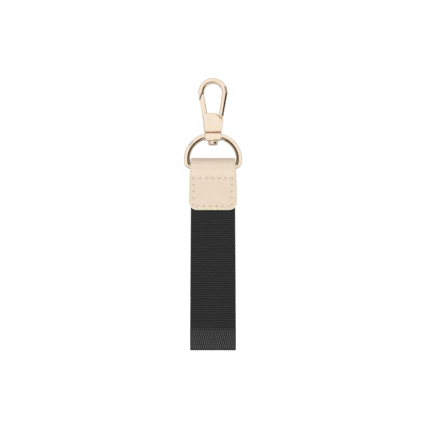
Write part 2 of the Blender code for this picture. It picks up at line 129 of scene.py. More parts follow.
class Tree:
    """A node tree with one way to add a node."""

    def __init__(self, nodes: bpy.types.NodeTree) -> None:
        """Starts from an empty tree."""
        self.tree = nodes
        self.tree.nodes.clear()

    def add(
        self,
        kind: str,
        settings: dict[str, Any] | None = None,
        sockets: dict[Any, Any] | None = None,
        output: int | str = 0,
    ) -> Wire:
        """Adds a node.

        Args:
            kind: the node's type.
            settings: properties, which are set first.
            sockets: input name or number to a Wire to link or a value to set.
            output: name or number of the output that is returned.

        Returns:
            The chosen output.
        """
        node = self.tree.nodes.new(kind)
        for key, value in (settings or {}).items():
            setattr(node, key, value)
        for key, value in (sockets or {}).items():
            if isinstance(value, Wire):
                self.tree.links.new(value.socket, node.inputs[key])
            else:
                node.inputs[key].default_value = value
        return Wire(self, node.outputs[output]) if len(node.outputs) else Wire(self, None)

    def mix(self, share: Any, first: Any, second: Any) -> Wire:
        """Blends two colours: first where share is 0 and second where it is 1."""
        sockets = {0: share, 6: _opaque(first), 7: _opaque(second)}
        return self.add("ShaderNodeMix", {"data_type": "RGBA"}, sockets, 2)

    def place(self, scale: float | Colour = 1.0, uv: bool = False) -> Wire:
        """Coordinates in millimetres times scale, of the object or of its own UV map."""
        base = self.add("ShaderNodeTexCoord", output="UV" if uv else "Object")
        factors = (scale,) * 3 if isinstance(scale, (int, float)) else scale
        to_mm = 1.0 if uv else 1.0 / MM
        return self.add(
            "ShaderNodeMapping",
            {},
            {"Vector": base, "Scale": tuple(factor * to_mm for factor in factors)},
        )

    def noise(self, where: Wire, scale: float, detail: float = 2.0) -> Wire:
        """Fractal noise from 0 to 1, scale bumps to the unit of where."""
        return self.add(
            "ShaderNodeTexNoise", {}, {"Vector": where, "Scale": scale, "Detail": detail}
        )

    def attribute(self, name: str) -> Wire:
        """A number that the mesh stores at each point."""
        return self.add("ShaderNodeAttribute", {"attribute_name": name}, {}, "Fac")

    def bump(self, height: Wire, depth_mm: float, below: Wire | None = None) -> Wire:
        """Turns a height from 0 to 1 into a normal, depth_mm deep."""
        sockets: dict[Any, Any] = {"Height": height, "Distance": depth_mm * MM, "Strength": 1.0}
        if below is not None:
            sockets["Normal"] = below
        return self.add("ShaderNodeBump", {}, sockets)


def _opaque(colour: Any) -> Any:
    """A colour with its alpha, or the Wire that came in."""
    return colour if isinstance(colour, Wire) else (*colour, 1.0)


def new_tree(name: str) -> tuple[bpy.types.Material, Tree]:
    """A new material and its empty tree."""
    made = bpy.data.materials.new(name)
    made.use_nodes = True
    return made, Tree(made.node_tree)


def close_tree(tree: Tree, sockets: dict[str, Any]) -> None:
    """Ends a tree in a Principled shader with these sockets."""
    shader = tree.add("ShaderNodeBsdfPrincipled", {}, sockets)
    tree.add("ShaderNodeOutputMaterial", {}, {"Surface": shader})


# ------------------------------------------------------------------- finishes


@dataclass(frozen=True)
class Plating:
    """Polished plating over a casting: faint ripple, hairlines, rubbed patches and painted shade in its
    joints.
    """

    name: str
    colour: Colour = (0.91, 0.765, 0.64)
    warm: Colour = (0.885, 0.74, 0.56)
    # painted shade: the colour that the plating takes near the joint of gate and nose
    joint_shade: Colour = (0.3, 0.21, 0.13)
    roughness: float = 0.07
    ripple_mm: float = 0.006
    scratch_mm: float = 0.0012

    def build(self) -> bpy.types.Material:
        """Makes the material.

        Returns:
            A metal whose colour, roughness and normal vary over the surface.
        """
        made, tree = new_tree(self.name)
        place = tree.place()
        cloud = tree.noise(place, 0.35, 3.0)
        hairs = tree.noise(tree.place((9.0, 9.0, 0.7)), 1.0, 4.0)
        rubbed = cloud.eased(0.4, 0.64)
        ripple = tree.bump(tree.noise(place, 0.6, 1.0), self.ripple_mm)
        # painted shade: darker, rougher plating near the joint of gate and nose, standing in for the
        # shadow in the gap
        shade_share = tree.attribute("joint_shade").eased(0.15, 0.8) * 0.85
        worn = tree.mix(rubbed, self.colour, self.warm)
        gloss = self.roughness + 0.05 * rubbed + 0.04 * hairs.eased(0.5, 0.75)
        close_tree(
            tree,
            {
                "Base Color": tree.mix(shade_share, worn, self.joint_shade),
                "Metallic": 1.0,
                "Roughness": gloss + 0.3 * shade_share,
                "Normal": tree.bump(hairs, self.scratch_mm, ripple),
            },
        )
        return made


@dataclass(frozen=True)
class SpringSteel:
    """Plain drawn steel: dull, with fine marks round the wire."""

    name: str = "spring_steel"
    colour: Colour = (0.5, 0.48, 0.45)
    roughness: float = 0.28

    def build(self) -> bpy.types.Material:
        """Makes the material."""
        made, tree = new_tree(self.name)
        marks = tree.noise(tree.place((2.0, 14.0, 2.0)), 1.0, 3.0)
        close_tree(
            tree,
            {
                "Base Color": tree.mix(marks, self.colour, (0.36, 0.34, 0.31)),
                "Metallic": 1.0,
                "Roughness": self.roughness + 0.15 * marks,
                "Normal": tree.bump(marks, 0.002),
            },
        )
        return made


@dataclass(frozen=True)
class Leather:
    """Smooth finished leather: fine pebble, soft clouds of tone, painted edges, painted shade in the holes
    and a painted highlight along the foot.
    """

    name: str = "cream_leather"
    colour: Colour = (0.80, 0.668, 0.52)
    cool: Colour = (0.825, 0.692, 0.575)
    edge: Colour = (0.735, 0.665, 0.465)
    foot_highlight: Colour = (0.87, 0.80, 0.63)
    shaded_hole: Colour = (0.30, 0.22, 0.14)
    roughness: float = 0.46

    def build(self) -> bpy.types.Material:
        """Makes the material.

        Returns:
            A leather whose grain follows the UV map and whose edges, painted hole shade and painted foot
            highlight follow attributes.
        """
        made, tree = new_tree(self.name)
        grain_at = tree.place(1.0, uv=True)
        cells = tree.add(
            "ShaderNodeTexVoronoi",
            {"feature": "SMOOTH_F1"},
            {"Vector": grain_at, "Scale": 2.3, "Smoothness": 0.6, "Randomness": 0.9},
        )
        pores = tree.noise(grain_at, 6.0, 2.0)
        cloud = tree.noise(grain_at, 0.16, 3.0)
        pebble = cells * 0.8 + pores * 0.25
        tone = tree.mix(cloud.eased(0.35, 0.7), self.colour, self.cool)
        tone = tree.mix(cells.eased(0.3, 0.75) * 0.10, tone, self.edge)
        tone = tree.mix(tree.attribute("edge") * 0.8, tone, self.edge)
        # painted highlight along the lower rim of the foot
        tone = tree.mix(tree.attribute("foot_highlight") * 0.85, tone, self.foot_highlight)
        # painted shade in the needle holes
        tone = tree.mix(tree.attribute("shaded_hole").eased(0.06, 0.75) * 0.85, tone, self.shaded_hole)
        close_tree(
            tree,
            {
                "Base Color": tone,
                "Roughness": self.roughness + 0.16 * pebble,
                "Normal": tree.bump(pebble, 0.028),
                "Specular IOR Level": 0.4,
            },
        )
        return made


@dataclass(frozen=True)
class Woven:
    """Black webbing: dull yarns with fine filaments, a painted highlight on the crowns of the weave that
    is brighter round the fold, and painted shade in its valleys.
    """

    name: str = "black_webbing"
    # valley: painted shade; crown: painted highlight on the crowns; bright: brighter painted highlight
    # round the fold
    valley_shade: Colour = (0.0012, 0.0012, 0.0013)
    crown: Colour = (0.064, 0.064, 0.065)
    bright: Colour = (0.11, 0.11, 0.112)
    roughness: float = 0.62

    def build(self) -> bpy.types.Material:
        """Makes the material.

        Returns:
            A cloth whose painted light and shade follow the height of the weave, with filaments along the
            strap.
        """
        made, tree = new_tree(self.name)
        filaments = tree.noise(tree.place((7.0, 1.1, 1.0), uv=True), 1.0, 3.0)
        height = tree.attribute("crown")
        # painted highlight on the crowns, brighter in the low zone round the fold, where the turned-down
        # strap catches light
        yarn = tree.mix(tree.attribute("low"), self.crown, self.bright)
        # painted shade in the valleys of the weave
        tone = tree.mix(height.eased(0.3, 0.97), self.valley_shade, yarn)
        tone = tree.mix(filaments.eased(0.45, 0.8) * 0.3, tone, self.crown)
        close_tree(
            tree,
            {
                "Base Color": tone,
                "Roughness": self.roughness + 0.2 * filaments,
                "Normal": tree.bump(filaments, 0.05),
                "Specular IOR Level": 0.3,
                "Sheen Weight": 0.08,
                "Sheen Roughness": 0.45,
            },
        )
        return made


@dataclass(frozen=True)
class Thread:
    """Waxed thread in the leather's tone, with painted shade in the grooves between its strands."""

    name: str = "cream_thread"
    colour: Colour = (0.88, 0.77, 0.62)
    strand_shade: Colour = (0.72, 0.60, 0.44)

    def build(self) -> bpy.types.Material:
        """Makes the material."""
        made, tree = new_tree(self.name)
        fuzz = tree.noise(tree.place(), 9.0, 3.0)
        # painted shade in the grooves between the strands
        tone = tree.mix(tree.attribute("strand_shade").eased(0.3, 1.0), self.colour, self.strand_shade)
        close_tree(
            tree,
            {
                "Base Color": tone,
                "Roughness": 0.5 + 0.2 * fuzz,
                "Normal": tree.bump(fuzz, 0.012),
            },
        )
        return made


# --------------------------------------------------------------------- meshes


def eased(share: Array | float) -> Array:
    """The smooth step 3t^2 - 2t^3 of a share held between 0 and 1."""
    held = np.clip(share, 0.0, 1.0)
    return held * held * (3.0 - 2.0 * held)


def mesh_object(
    name: str,
    points: Array,
    quads: Array,
    values: dict[str, Array] | None = None,
    uv: Array | None = None,
    weld: bool = False,
) -> bpy.types.Object:
    """Puts points and quads into a new object.

    Args:
        name: the piece's name.
        points: (n, 3) places in millimetres.
        quads: (m, 4) point numbers, anticlockwise from outside.
        values: numbers to store at each point, by attribute name.
        uv: (n, 2) map in millimetres.
        weld: merges points that meet and caps open ends.

    Returns:
        The object, at the origin.
    """
    mesh = bpy.data.meshes.new(name)
    mesh.vertices.add(len(points))
    mesh.vertices.foreach_set("co", (points * MM).astype(np.float32).ravel())
    mesh.loops.add(quads.size)
    mesh.loops.foreach_set("vertex_index", quads.astype(np.int32).ravel())
    mesh.polygons.add(len(quads))
    mesh.polygons.foreach_set("loop_start", np.arange(0, quads.size, 4, dtype=np.int32))
    mesh.update(calc_edges=True)
    for key, numbers in (values or {}).items():
        layer = mesh.attributes.new(key, "FLOAT", "POINT")
        layer.data.foreach_set("value", numbers.astype(np.float32).ravel())
    if uv is not None:
        layer = mesh.uv_layers.new(name="UVMap")
        layer.data.foreach_set("uv", uv[quads.ravel()].astype(np.float32).ravel())
    if weld:
        closed(mesh)
    mesh.polygons.foreach_set("use_smooth", np.ones(len(mesh.polygons), dtype=bool))
    mesh.update()
    made = bpy.data.objects.new(name, mesh)
    bpy.context.scene.collection.objects.link(made)
    return made


def closed(mesh: bpy.types.Mesh) -> None:
    """Merges the points that meet, caps the open ends and turns the faces outwards."""
    work = bmesh.new()
    work.from_mesh(mesh)
    bmesh.ops.remove_doubles(work, verts=work.verts, dist=1e-7)
    bmesh.ops.holes_fill(work, edges=[edge for edge in work.edges if edge.is_boundary])
    bmesh.ops.recalc_face_normals(work, faces=work.faces)
    work.to_mesh(mesh)
    work.free()


def grid_quads(rows: int, columns: int, ring_rows: bool, ring_columns: bool) -> Array:
    """Quads of a grid of rows x columns points, numbered row by row.

    Args:
        rows: number of rows.
        columns: number of points in a row.
        ring_rows: joins the last row to the first.
        ring_columns: joins each row's last point to its first.

    Returns:
        (m, 4) point numbers.
    """
    row = np.arange(rows if ring_rows else rows - 1)
    column = np.arange(columns if ring_columns else columns - 1)
    i, j = np.meshgrid(row, column, indexing="ij")
    below = (i + 1) % rows
    beside = (j + 1) % columns
    corners = [i * columns + j, i * columns + beside, below * columns + beside, below * columns + j]
    return np.stack(corners, axis=-1).reshape(-1, 4)


def polygon_distance(x: Array, z: Array, corners: list[tuple[float, float]]) -> Array:
    """Signed distance to a polygon, negative inside: nearest edge, with its sign from the crossings.

    Args:
        x: across places.
        z: heights.
        corners: the polygon's corners in order.

    Returns:
        The distances, in the shape of x and z together.
    """
    nearest = None
    inside = None
    for (ax, az), (bx, bz) in zip(corners, corners[1:] + corners[:1]):
        ex, ez = bx - ax, bz - az
        share = np.clip(((x - ax) * ex + (z - az) * ez) / (ex * ex + ez * ez), 0.0, 1.0)
        gap = np.hypot(x - ax - share * ex, z - az - share * ez)
        nearest = gap if nearest is None else np.minimum(nearest, gap)
        crosses = (az > z) != (bz > z)
        left = x < ex * (z - az) / (ez if ez else 1e-12) + ax
        hit = crosses & left
        inside = hit if inside is None else inside ^ hit
    return np.where(inside, -nearest, nearest)


def path_distance(x: Array, z: Array, path: Array) -> tuple[Array, Array]:
    """Distance to a path and how far along it the nearest point lies.

    Args:
        x: across places.
        z: heights.
        path: (n, 2) points of the path.

    Returns:
        The distances and the shares, from 0 at the path's start to 1 at its end.
    """
    best = np.full(np.broadcast(x, z).shape, np.inf)
    along = np.zeros_like(best)
    lengths = np.hypot(*np.diff(path, axis=0).T)
    done = 0.0
    for (ax, az), (bx, bz), length in zip(path, path[1:], lengths):
        ex, ez = bx - ax, bz - az
        share = np.clip(((x - ax) * ex + (z - az) * ez) / (length * length), 0.0, 1.0)
        gap = np.hypot(x - ax - share * ex, z - az - share * ez)
        nearer = gap < best
        best = np.where(nearer, gap, best)
        along = np.where(nearer, done + share * length, along)
        done += length
    return best, along / done


def rounded(first: Array, second: Array, rounding: float) -> Array:
    """Rounded-box formula: |(a, b) held above 0| + (the larger of a and b, held below 0) - rounding."""
    outside = np.hypot(np.maximum(first, 0.0), np.maximum(second, 0.0))
    return outside + np.minimum(np.maximum(first, second), 0.0) - rounding


def slab(flat: Array, depth: Array, half: float, rounding: float) -> Array:
    """Distance to a flat shape that is 2 half thick, with a rounded rim."""
    return rounded(flat + rounding, np.abs(depth) - half + rounding, rounding)


def joined(first: Array, second: Array, fillet: float) -> Array:
    """The union of two distances, with a fillet: the smooth minimum b + (a - b)h - kh(1 - h)."""
    share = np.clip(0.5 + 0.5 * (second - first) / fillet, 0.0, 1.0)
    return second + (first - second) * share - fillet * share * (1.0 - share)


def cut(body: Array, tool: Array, edge: float) -> Array:
    """The body less the tool, with the new edge broken by edge."""
    return -joined(-body, tool, edge)


def stand_in(
    piece: bpy.types.Object, finish: bpy.types.Material, node: str, body: str
) -> bpy.types.Object:
    """Gives a piece its finish and sets it in the place of a CAD node, on the node's body.

    Args:
        piece: the new piece.
        finish: its material.
        node: the CAD node that it replaces.
        body: the body that it rides on.

    Returns:
        The piece.
    """
    piece.data.materials.append(finish)
    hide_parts(node)
    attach(piece, body)
    return piece


class Casting:
    """Turns a distance formula into a closed skin of quads that lies on the formula's zero."""

    def __init__(self, field: Field, low: Colour, high: Colour, step: float) -> None:
        """Keeps the formula, the box that holds the shape and the size of a cell."""
        self.field = field
        self.low = np.array(low)
        self.high = np.array(high)
        self.step = step

    def _sample(self) -> Array:
        """The formula on the grid's corners."""
        x, y, z = (np.arange(a, b + self.step, self.step) for a, b in zip(self.low, self.high))
        values = self.field(x[:, None, None], y[None, :, None], z[None, None, :])
        return np.broadcast_to(values, (len(x), len(y), len(z)))

    def _settle(self, points: Array) -> Array:
        """Slides points down the formula's slope on to its zero: p - f * g / |g|^2, four times."""
        small = 0.15 * self.step
        for _ in range(4):
            here = self.field(*points.T)
            slope = np.empty_like(points)
            for axis in range(3):
                ahead, behind = points.copy(), points.copy()
                ahead[:, axis] += small
                behind[:, axis] -= small
                slope[:, axis] = (self.field(*ahead.T) - self.field(*behind.T)) / (2 * small)
            steep = np.maximum((slope**2).sum(axis=1), 0.2)
            move = (here / steep)[:, None] * slope
            size = np.linalg.norm(move, axis=1, keepdims=True)
            move *= np.minimum(1.0, 0.4 * self.step / np.maximum(size, 1e-9))
            points = points - move
        return points

    def skin(self) -> tuple[Array, Array]:
        """Works out the surface.

        One point goes in each cell that the surface crosses, at the mean of the crossings on its edges.
        Each grid edge that the surface crosses gives a quad of the four cells round it.

        Returns:
            Points in millimetres and quads that face outwards.
        """
        value = self._sample()
        inside = value < 0.0
        count = np.zeros(np.array(inside.shape) - 1, dtype=np.int8)
        for corner in np.ndindex(2, 2, 2):
            window = tuple(slice(c, c + n) for c, n in zip(corner, count.shape))
            count += inside[window]
        cells = np.argwhere((count > 0) & (count < 8))
        number = np.full(count.shape, -1, dtype=np.int64)
        number[tuple(cells.T)] = np.arange(len(cells))
        total = np.zeros((len(cells), 3))
        hits = np.zeros(len(cells))
        quads = []
        for axis in range(3):
            u, v = (axis + 1) % 3, (axis + 2) % 3
            unit = np.eye(3, dtype=np.int64)
            for du, dv in np.ndindex(2, 2):
                start = cells + du * unit[u] + dv * unit[v]
                end = start + unit[axis]
                first, last = value[tuple(start.T)], value[tuple(end.T)]
                crossed = (first < 0.0) != (last < 0.0)
                share = np.where(crossed, first / np.where(crossed, first - last, 1.0), 0.0)
                total += crossed[:, None] * (start + share[:, None] * unit[axis])
                hits += crossed
            near = [slice(None)] * 3
            far = [slice(None)] * 3
            near[axis], far[axis] = slice(None, -1), slice(1, None)
            starts = np.argwhere(inside[tuple(near)] != inside[tuple(far)])
            starts = starts[(starts[:, u] > 0) & (starts[:, v] > 0)]
            starts = starts[(starts[:, u] < count.shape[u]) & (starts[:, v] < count.shape[v])]
            around = (0 * unit[u], unit[u], unit[u] + unit[v], unit[v])
            corners = np.stack([number[tuple((starts - back).T)] for back in around], axis=1)
            outward = inside[tuple(starts.T)]
            quads.append(np.where(outward[:, None], corners, corners[:, ::-1]))
        points = self.low + self.step * total / hits[:, None]
        return self._settle(points), np.concatenate(quads)


# ----------------------------------------------------------------- the pieces


@dataclass
class Hook:
    """The snap hook: its casting, its gate and the rivet that the ring turns on."""

    wire_r: float = 1.58
    wire_end_r: float = 1.32
    eye_r: float = 4.9
    taper: float = math.radians(9.5)
    body_top: float = -16.1
    body_bottom: float = -26.6
    top_half: float = 5.9
    bottom_half: float = 4.85
    half_t: float = 2.9
    margin: float = 1.0
    left_corner: float = 1.0
    shoulder: tuple[float, float] = (4.2, 3.5)
    root_depth: float = 4.0
    fillet: float = 0.7
    gate_half: float = 1.45
    gate_half_t: float = 1.35
    gate_open: float = math.radians(28.0)
    gap: float = 0.3
    nose_gap: float = 0.05
    slot_half: float = 1.6
    pivot_drop: float = 5.1
    tip_depth: float = 5.5
    tip_cut: float = 3.4
    tip_flat: float = 0.42
    pin_r: float = 0.7
    pin_seat: float = 2.65
    socket_r: float = 1.6
    socket_top: float = -23.9
    pad: tuple[float, float, float] = (4.25, 2.45, 0.17)
    pad_drop: float = 0.25
    pad_bore_r: float = 1.55
    shade_reach: float = 0.46
    cell: float = 0.13
    gate_cell: float = 0.11

    @property
    def middle_r(self) -> float:
        """Radius of the wire's centreline over the eye."""
        return self.eye_r + 1.55

    def side_x(self, height: Array | float) -> Array | float:
        """X of the right side's centreline at a height, tangent to the eye's top."""
        tangent_x = self.middle_r * math.cos(self.taper)
        tangent_z = -self.eye_r - self.middle_r * math.sin(self.taper)
        return tangent_x - (tangent_z - height) * math.tan(self.taper)

    @property
    def pivot(self) -> tuple[float, float]:
        """X and Z of the gate's pin."""
        height = self.body_top - self.pivot_drop
        return -self.side_x(height), height

    def on_gate(self, x: Array | float, z: Array | float) -> tuple[Any, Any]:
        """Turns a place into (across, along) the closed gate, from its pin."""
        dx, dz = x - self.pivot[0], z - self.pivot[1]
        c, s = math.cos(self.taper), math.sin(self.taper)
        return dx * c + dz * s, dz * c - dx * s

    def from_gate(self, across: float, along: float) -> tuple[float, float]:
        """Turns (across, along) the closed gate into a place."""
        c, s = math.cos(self.taper), math.sin(self.taper)
        return self.pivot[0] + across * c - along * s, self.pivot[1] + across * s + along * c

    @property
    def gate_length(self) -> float:
        """From the pin to the top of the gate's tip."""
        return (-self.tip_depth - self.pivot[1]) / math.cos(self.taper)

    def arm_path(self) -> Array:
        """The arm's centreline: up from the nose, over the eye in an arc and down into the body."""
        turn = np.linspace(math.pi + self.taper, -self.taper, 49)
        over = np.stack([np.cos(turn), np.sin(turn)], axis=1) * self.middle_r - [0.0, self.eye_r]
        nose = self.from_gate(0.0, self.gate_length - self.tip_cut - 2 * self.wire_r)
        root = self.body_top - self.root_depth
        return np.vstack([nose, over, (self.side_x(root), root)])

    def body_outline(self) -> list[tuple[float, float]]:
        """Corners of the body's face, from the left one under the gate, clockwise."""
        slope = (self.top_half - self.bottom_half) / (self.body_top - self.body_bottom)
        shoulder_z = self.body_top - self.shoulder[1]
        return [
            (-self.top_half + slope * self.left_corner, self.body_top - self.left_corner),
            (-self.top_half + self.left_corner, self.body_top),
            (self.top_half - self.shoulder[0], self.body_top),
            (self.top_half - slope * self.shoulder[1], shoulder_z),
            (self.bottom_half, self.body_bottom),
            (-self.bottom_half, self.body_bottom),
        ]

    def tip_line(self, clearance: float) -> list[tuple[float, float]]:
        """The stepped line between gate and nose, as (across, along), moved to the nose by clearance."""
        top = self.gate_length + clearance
        step = self.gate_half - self.tip_flat * 2 * self.gate_half - clearance
        half = self.gate_half + clearance
        return [(-half, top - self.tip_cut), (step, top), (half, top)]

    def slot_outline(self) -> list[tuple[float, float]]:
        """Corners of the slot that the gate turns in: a lean wall and a round foot about the pin."""
        reach = self.gate_half + self.gap
        lean = self.gate_open - self.taper
        above = self.body_top + 2.0
        outside = -self.top_half - 2.0
        px, pz = self.pivot
        wall = px + (above - pz) * math.tan(lean) + reach / math.cos(lean)
        turn = np.linspace(-lean, -math.pi / 2, 11)
        foot = [(px + reach * math.cos(t), pz + reach * math.sin(t)) for t in turn]
        return [(outside, above), (wall, above), *foot, (outside, pz - reach)]

    def body_field(self, x: Array, y: Array, z: Array) -> Array:
        """Distance to the casting: arm and body joined with a fillet, less nose cut, slot and holes."""
        gap, share = path_distance(x, z, self.arm_path())
        thin = self.wire_r + (self.wire_end_r - self.wire_r) * eased((share - 0.45) / 0.5)
        arm = np.hypot(gap, y) - thin
        body = slab(polygon_distance(x, z, self.body_outline()), y, self.half_t, self.margin)
        across, along = self.on_gate(x, z)
        outer, step, inner = self.tip_line(self.nose_gap)
        slope = (step[1] - outer[1]) / (step[0] - outer[0])
        wide = 2.2 * self.wire_r
        foot = outer[1] - 4.6 * self.wire_r
        nose_tool = [
            (-wide, foot),
            (wide, foot),
            (wide, inner[1]),
            step,
            (-wide, outer[1] - slope * (outer[0] + wide)),
        ]
        arm = cut(arm, polygon_distance(across, along, nose_tool), 0.12)
        whole = joined(arm, body, self.fillet)
        slot = np.maximum(polygon_distance(x, z, self.slot_outline()), np.abs(y) - self.slot_half)
        whole = cut(whole, slot, 0.16)
        px, pz = self.pivot
        pin = np.maximum(np.hypot(x - px, z - pz) - self.pin_r, np.abs(y) - self.pin_seat)
        socket = np.maximum(np.hypot(x, y) - self.socket_r, z - self.socket_top)
        return np.maximum(np.maximum(whole, -pin), -socket)

    def gate_field(self, x: Array, y: Array, z: Array) -> Array:
        """Distance to the gate: a flat lever with a stepped tip and a forked foot, bored for its pin."""
        across, along = self.on_gate(x, z)
        outer, step, inner = self.tip_line(0.0)
        bar = [outer, step, inner, (self.gate_half, 0.0), (-self.gate_half, 0.0)]
        flat = polygon_distance(across, along, bar)
        foot = np.hypot(across, along)
        flat = np.minimum(flat, foot - self.gate_half)
        lever = slab(flat, y, self.gate_half_t, 0.5)
        fork = np.maximum(np.abs(y) - 0.84, along - 3.8)
        lever = cut(lever, fork, 0.12)
        return np.maximum(lever, self.pin_r - foot)

    def joint_shade(self, points: Array) -> Array:
        """How much painted shade each point takes: exp(-(g / reach)^2) at a distance g from the joint of
        gate and nose.
        """
        across, along = self.on_gate(points[:, 0], points[:, 2])
        gap, _ = path_distance(across, along, np.array(self.tip_line(self.nose_gap / 2)))
        return np.exp(-((gap / self.shade_reach) ** 2))

    def make_casting(self) -> bpy.types.Object:
        """Makes the hook's casting."""
        low = (-self.middle_r - 2.2, -self.half_t - 0.3, self.body_bottom - 0.4)
        high = (self.middle_r + 2.2, self.half_t + 0.3, 3.6)
        points, quads = Casting(self.body_field, low, high, self.cell).skin()
        # attribute of painted shade near the joint of gate and nose
        return mesh_object("hook_casting", points, quads, {"joint_shade": self.joint_shade(points)})

    def make_pad(self) -> bpy.types.Object:
        """Makes the pad under the body: a thin block with round corners in the swivel's gap, whose dark
        orange plating is painted shade of the gap.
        """
        half_x, half_y, half_z = self.pad
        middle = self.body_bottom - self.pad_drop
        corner = 0.5

        def field(x: Array, y: Array, z: Array) -> Array:
            """Distance to the block, less the bore for the rivet."""
            flat = rounded(np.abs(x) - half_x + corner, np.abs(y) - half_y + corner, corner)
            return np.maximum(slab(flat, z - middle, half_z, 0.08), self.pad_bore_r - np.hypot(x, y))

        low = (-half_x - 0.4, -half_y - 0.4, middle - half_z - 0.2)
        high = (half_x + 0.4, half_y + 0.4, middle + half_z + 0.2)
        points, quads = Casting(field, low, high, 0.1).skin()
        return mesh_object("swivel_pad", points, quads)

    def make_gate(self) -> bpy.types.Object:
        """Makes the gate."""
        low = (self.pivot[0] - 5.0, -self.gate_half_t - 0.3, self.pivot[1] - 2.0)
        high = (self.pivot[0] + 2.4, self.gate_half_t + 0.3, -self.tip_depth + 0.8)
        points, quads = Casting(self.gate_field, low, high, self.gate_cell).skin()
        # attribute of painted shade near the joint of gate and nose
        return mesh_object("gate_forged", points, quads, {"joint_shade": self.joint_shade(points)})

    def dress(self) -> None:
        """Makes the pieces, gives them their finish and sets them on their bodies."""
        plating = Plating("hook_plating").build()
        casting = stand_in(self.make_casting(), plating, "hook_body", "hook")
        plating = Plating("gate_plating", roughness=0.1).build()
        gate = stand_in(self.make_gate(), plating, "gate_lever", "gate")
        pad = self.make_pad()
        # dark orange plating: painted shade of the swivel's gap
        gap_shade_plating = Plating("pad_gap_shade", (0.80, 0.40, 0.15), (0.62, 0.28, 0.09), roughness=0.3)
        pad.data.materials.append(gap_shade_plating.build())
        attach(pad, "hook")
        steel = SpringSteel().build()
        for node in ("gate_pin", "gate_spring"):
            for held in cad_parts[node].material_slots:
                held.material = steel
        LOG.info("hook: casting %d, gate %d quads", len(casting.data.polygons), len(gate.data.polygons))


@dataclass
class Rivet:
    """The headed rivet that joins hook and ring."""

    shank_r: float = 1.5
    head_r: float = 2.75
    rounding: float = 1.2
    crown: float = 0.12
    sides: int = 72

    def profile(self, low: float, high: float, under: float) -> Array:
        """(radius, z) from the shank's top down: shank, flat seat, rounded rim and slightly domed end.

        Args:
            low: the head's lowest height.
            high: the shank's top.
            under: the seat's height.

        Returns:
            The profile's points.
        """
        turn = np.linspace(0.0, math.pi / 2, 14)
        rim_x = self.head_r - self.rounding + self.rounding * np.cos(turn)
        rim_z = low + self.crown + self.rounding - self.rounding * np.sin(turn)
        dome_x = np.linspace(rim_x[-1], 0.0, 10)[1:]
        dome_z = low + self.crown * (dome_x / rim_x[-1]) ** 2
        upper = [
            (0.0, high),
            (self.shank_r - 0.15, high),
            (self.shank_r, high - 0.15),
            (self.shank_r, under + 0.05),
            (self.shank_r + 0.05, under),
            (self.head_r - 0.12, under),
            (self.head_r - 0.03, under - 0.04),
            (self.head_r, under - 0.14),
        ]
        lower = np.stack([np.concatenate([rim_x, dome_x]), np.concatenate([rim_z, dome_z])], axis=1)
        return np.vstack([upper, lower])

    def dress(self) -> None:
        """Turns the profile about Z and dresses it."""
        low, high = (corner.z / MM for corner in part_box("swivel_rivet"))
        ring_low = min(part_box("d_ring")[1].z / MM - 4.3, high)
        outline = self.profile(low, high, ring_low - 0.1)
        turn = np.linspace(0.0, 2 * math.pi, self.sides, endpoint=False)
        radius, height = outline[:, 0][:, None], outline[:, 1][:, None]
        rows = [radius * np.cos(turn), radius * np.sin(turn), height + 0 * turn]
        points = np.stack(rows, axis=-1).reshape(-1, 3)
        quads = grid_quads(len(outline), self.sides, False, True)[:, ::-1]
        piece = mesh_object("rivet_turned", points, quads, weld=True)
        stand_in(piece, Plating("rivet_plating", roughness=0.06).build(), "swivel_rivet", "hook")
        LOG.info("rivet: %d quads", len(piece.data.polygons))


@dataclass
class Ring:
    """The D-shaped ring and its boss, one casting."""

    wire_r: float = 1.7
    half_w: float = 14.2
    arch_h: float = 12.7
    arch_z: float = -41.0
    side_h: float = 1.45
    corner_r: float = 2.65
    boss: tuple[float, float, float] = (8.6, 5.6, 4.1)
    boss_top: float = -27.1
    boss_edge: float = 0.55
    fillet: float = 0.9
    bore_r: float = 1.6
    cell: float = 0.16

    def path(self) -> Array:
        """The wire's centreline: half an ellipse, two short sides, two round corners and the bar."""
        arch = np.linspace(0.0, math.pi, 81)
        over = np.stack([self.half_w * np.cos(arch), self.arch_h * np.sin(arch) + self.arch_z], 1)
        turn = np.linspace(0.0, -math.pi / 2, 13)
        side = self.half_w - self.corner_r
        foot = self.arch_z - self.side_h
        right = np.stack([side + self.corner_r * np.cos(turn), foot + self.corner_r * np.sin(turn)], 1)
        left = right[::-1] * [-1.0, 1.0]
        return np.vstack([over[::-1], right, left, over[-1]])

    def field(self, x: Array, y: Array, z: Array) -> Array:
        """Distance to the casting: a round wire along the path, joined to the boss by fillets, bored."""
        gap, _ = path_distance(x, z, self.path())
        wire = np.hypot(gap, y) - self.wire_r
        width, depth, height = self.boss
        middle = self.boss_top - height / 2
        side = np.abs(x) - width / 2 + self.boss_edge
        front = np.abs(y) - depth / 2 + self.boss_edge
        rise = np.abs(z - middle) - height / 2 + self.boss_edge
        outside = np.sqrt(
            np.maximum(side, 0.0) ** 2 + np.maximum(front, 0.0) ** 2 + np.maximum(rise, 0.0) ** 2
        )
        within = np.minimum(np.maximum(np.maximum(side, front), rise), 0.0)
        boss = within + outside - self.boss_edge
        wire = np.maximum(wire, z - self.boss_top)
        whole = np.maximum(joined(wire, boss, self.fillet), z - self.boss_top)
        return np.maximum(whole, self.bore_r - np.hypot(x, y))

    def dress(self) -> None:
        """Makes the ring and dresses it."""
        low = (-self.half_w - 2.2, -3.1, self.arch_z - self.side_h - self.corner_r - 2.2)
        high = (self.half_w + 2.2, 3.1, self.boss_top + 0.5)
        points, quads = Casting(self.field, low, high, self.cell).skin()
        piece = mesh_object("ring_casting", points, quads)
        stand_in(piece, Plating("ring_plating").build(), "d_ring", "ring")
        LOG.info("ring: %d quads", len(piece.data.polygons))


